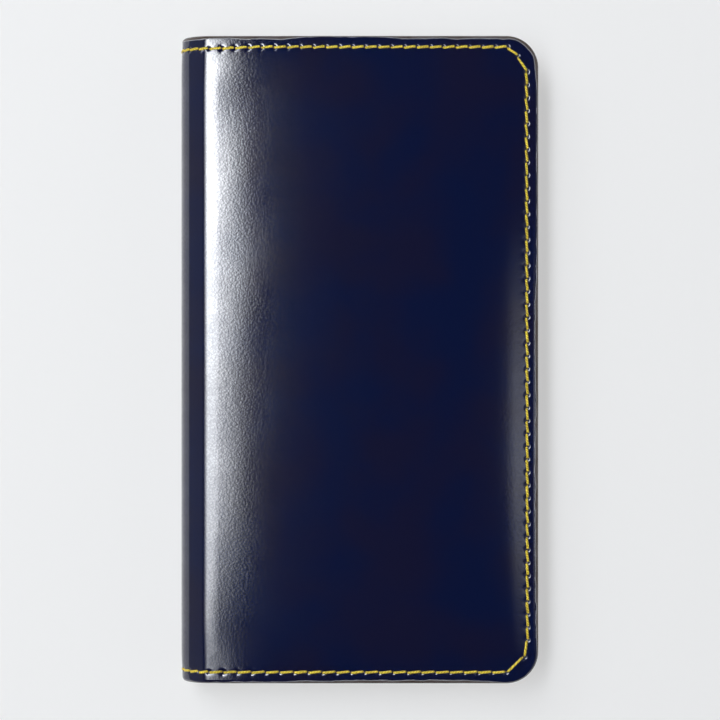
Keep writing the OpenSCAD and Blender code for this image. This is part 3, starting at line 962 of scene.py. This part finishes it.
def make_pockets():
    """The bill pocket, open towards the fold, and three stepped card pockets in front of it."""
    levels = [BILL_TOP - i * POCKET_STEP for i in range(4)]
    panels = [
        ("bill_pocket_panel", "bill_pocket", BILL_MOUTH, HALF_H, levels[0], True),
        ("rear_card_pocket", "card_pocket_back", CARD_SIDE, LIPS["back"], levels[1], False),
        ("middle_card_pocket", "card_pocket_middle", CARD_SIDE, LIPS["middle"], levels[2], False),
        ("front_card_pocket", "card_pocket_front", CARD_SIDE, LIPS["front"], levels[3], False),
    ]
    for name, node, x_left, y_high, top, at_side in panels:
        panel = pocket_panel(x_left, y_high, top, at_side)
        finish_piece(panel, name, NAVY_POCKET, [node])
        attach(panel, "front_cover")


# ---------------------------------------------------------------- stage

CAMERA_RISE = 0.5
FRAME_SIDE = 0.1617
SENSOR = 36


def light_panel(name, low, high, height, strength, profile):
    """A soft light: a level panel that glows downwards. profile gives its share of glow from x and y."""
    deselect()
    bpy.ops.mesh.primitive_plane_add(size=1)
    panel = bpy.context.object
    panel.name = name
    size = np.array((high[0] - low[0], high[1] - low[1], 1.0))
    centre = np.array(((high[0] + low[0]) / 2, (high[1] + low[1]) / 2, 0))
    points = coordinates(panel) * size + centre
    points[:, 2] = height
    set_coordinates(panel, points)
    activate(panel)
    bpy.ops.object.mode_set(mode="EDIT")
    bpy.ops.mesh.select_all(action="SELECT")
    bpy.ops.mesh.flip_normals()
    bpy.ops.object.mode_set(mode="OBJECT")
    material = bpy.data.materials.new(name)
    material.use_nodes = True
    tree = material.node_tree
    tree.nodes.remove(tree.nodes["Principled BSDF"])
    position = tree.nodes.new("ShaderNodeTexCoord").outputs["Object"]
    parts = add(tree, "ShaderNodeSeparateXYZ", {0: position})
    share = profile(tree, parts.outputs["X"], parts.outputs["Y"])
    behind = tree.nodes.new("ShaderNodeNewGeometry").outputs["Backfacing"]
    share = maths(tree, "MULTIPLY", share, maths(tree, "SUBTRACT", 1.0, behind))
    glow = add(tree, "ShaderNodeEmission", {"Color": rgb(0.93, 0.96, 1.0),
                                            "Strength": maths(tree, "MULTIPLY", share, strength)})
    tree.links.new(glow.outputs[0], tree.nodes["Material Output"].inputs["Surface"])
    panel.data.materials.append(material)
    panel.visible_camera = False


def rise(tree, value, low, high, power=1.0):
    """Straight rise from 0 at low to 1 at high, raised to a power."""
    t = add(tree, "ShaderNodeMapRange", {"Value": value, "From Min": low, "From Max": high})
    return maths(tree, "POWER", t.outputs["Result"], power)


def key_profile(tree, x, y):
    """Graded across, fullest towards the head, and a third as strong towards the foot."""
    across = maths(tree, "MULTIPLY", rise(tree, x, -0.112, -0.167, 2.0), rise(tree, x, -0.52, -0.24, 2.0))
    foot = maths(tree, "MULTIPLY", rise(tree, y, -0.50, -0.42), 0.33)
    body = maths(tree, "MULTIPLY_ADD", rise(tree, y, -0.24, -0.06, 1.15), 0.67, foot)
    head = maths(tree, "MULTIPLY", rise(tree, y, -0.03, 0.10), rise(tree, y, 0.42, 0.26))
    body = maths(tree, "MULTIPLY", body, maths(tree, "MULTIPLY_ADD", head, 0.6, 1.0))
    up = maths(tree, "MULTIPLY", body, rise(tree, y, 0.75, 0.50))
    return maths(tree, "MULTIPLY", across, up)


def fill_profile(tree, x, y):
    """A patch with soft borders, off to the right."""
    across = maths(tree, "MULTIPLY", ramp(tree, x, 0.150, 0.205), ramp(tree, x, 0.50, 0.30))
    up = maths(tree, "MULTIPLY", ramp(tree, y, -0.19, -0.05), ramp(tree, y, 0.09, -0.05))
    return maths(tree, "MULTIPLY", across, up)


def top_profile(tree, x, y):
    """A soft-bordered panel beyond the head, off to the left."""
    across = maths(tree, "MULTIPLY", ramp(tree, x, -1.0, -0.80), ramp(tree, x, -0.22, -0.32))
    up = maths(tree, "MULTIPLY", ramp(tree, y, 0.42, 0.50), ramp(tree, y, 0.90, 0.75))
    return maths(tree, "MULTIPLY", across, up)


def make_floor():
    """A pale floor with a glow of its own, so that it stays light beside the dark case."""
    deselect()
    bpy.ops.mesh.primitive_plane_add(size=6)
    floor = bpy.context.object
    floor.name = "floor"
    material = bpy.data.materials.new("pale_floor")
    material.use_nodes = True
    shader = material.node_tree.nodes["Principled BSDF"]
    shader.inputs["Base Color"].default_value = rgb(0.42, 0.42, 0.42)
    shader.inputs["Roughness"].default_value = 0.9
    shader.inputs["Specular IOR Level"].default_value = 0.1
    shader.inputs["Emission Color"].default_value = rgb(1, 1, 1)
    shader.inputs["Emission Strength"].default_value = 0.51
    floor.data.materials.append(material)


def make_lights():
    light_panel("key_softbox", (-0.58, -0.50), (-0.099, 0.75), 0.95, 12.5, key_profile)
    light_panel("right_fill", (0.15, -0.19), (0.50, 0.09), 0.80, 1.4, fill_profile)
    light_panel("top_softbox", (-1.0, 0.42), (-0.22, 0.90), 0.951, 7.0, top_profile)


def make_studio():
    """A dark studio that grows pale towards the left and the right."""
    world = bpy.data.worlds.new("studio")
    bpy.context.scene.world = world
    world.use_nodes = True
    tree = world.node_tree
    way = add(tree, "ShaderNodeSeparateXYZ", {0: tree.nodes.new("ShaderNodeTexCoord").outputs["Generated"]})
    left = ramp(tree, way.outputs["X"], -0.30, -0.62, 0.012, 0.25)
    right = ramp(tree, way.outputs["X"], 0.50, 0.85, 0.0, 0.45)
    tree.links.new(maths(tree, "ADD", left, right), tree.nodes["Background"].inputs["Strength"])
    tree.nodes["Background"].inputs["Color"].default_value = rgb(0.96, 0.98, 1.0)


def make_camera():
    """Straight above the case. The frame is FRAME_SIDE metres wide at the height of the rim."""
    camera = bpy.data.cameras.new("camera")
    camera.sensor_width = SENSOR
    camera.lens = SENSOR * CAMERA_RISE / FRAME_SIDE
    camera.clip_start = 0.01
    holder = bpy.data.objects.new("camera", camera)
    holder.location = (0.16 * MM, -0.09 * MM, RIM * MM + CAMERA_RISE)
    scene = bpy.context.scene
    scene.collection.objects.link(holder)
    scene.camera = holder
    scene.view_settings.view_transform = "Standard"


# ---------------------------------------------------------------- assembly

make_floor()
make_lights()
make_studio()
make_camera()
make_hides()
make_layer("board", BOARD, HIDE_T, HIDE_T + BOARD_T, "core")
make_layer("lining_leather", NAVY_LINING, HIDE_T + BOARD_T, WALL, "lining")
make_seams()
make_pockets()

CAD_FINISHES = {
    "phone_tray": (TRAY_PLASTIC, "tray"),
    "tray_adhesive": (TRAY_TAPE, "adhesive"),
    "front_crown_pad": (PADDING, "padding"),
    "card_pocket_back_liner": (POCKET_CLOTH, "pocket_cloth"),
    "card_pocket_middle_liner": (POCKET_CLOTH, "pocket_cloth"),
}
for node, (finish, slot_name) in CAD_FINISHES.items():
    part = frame["nodes"][node]
    part.data.materials.clear()
    part.data.materials.append(finish)
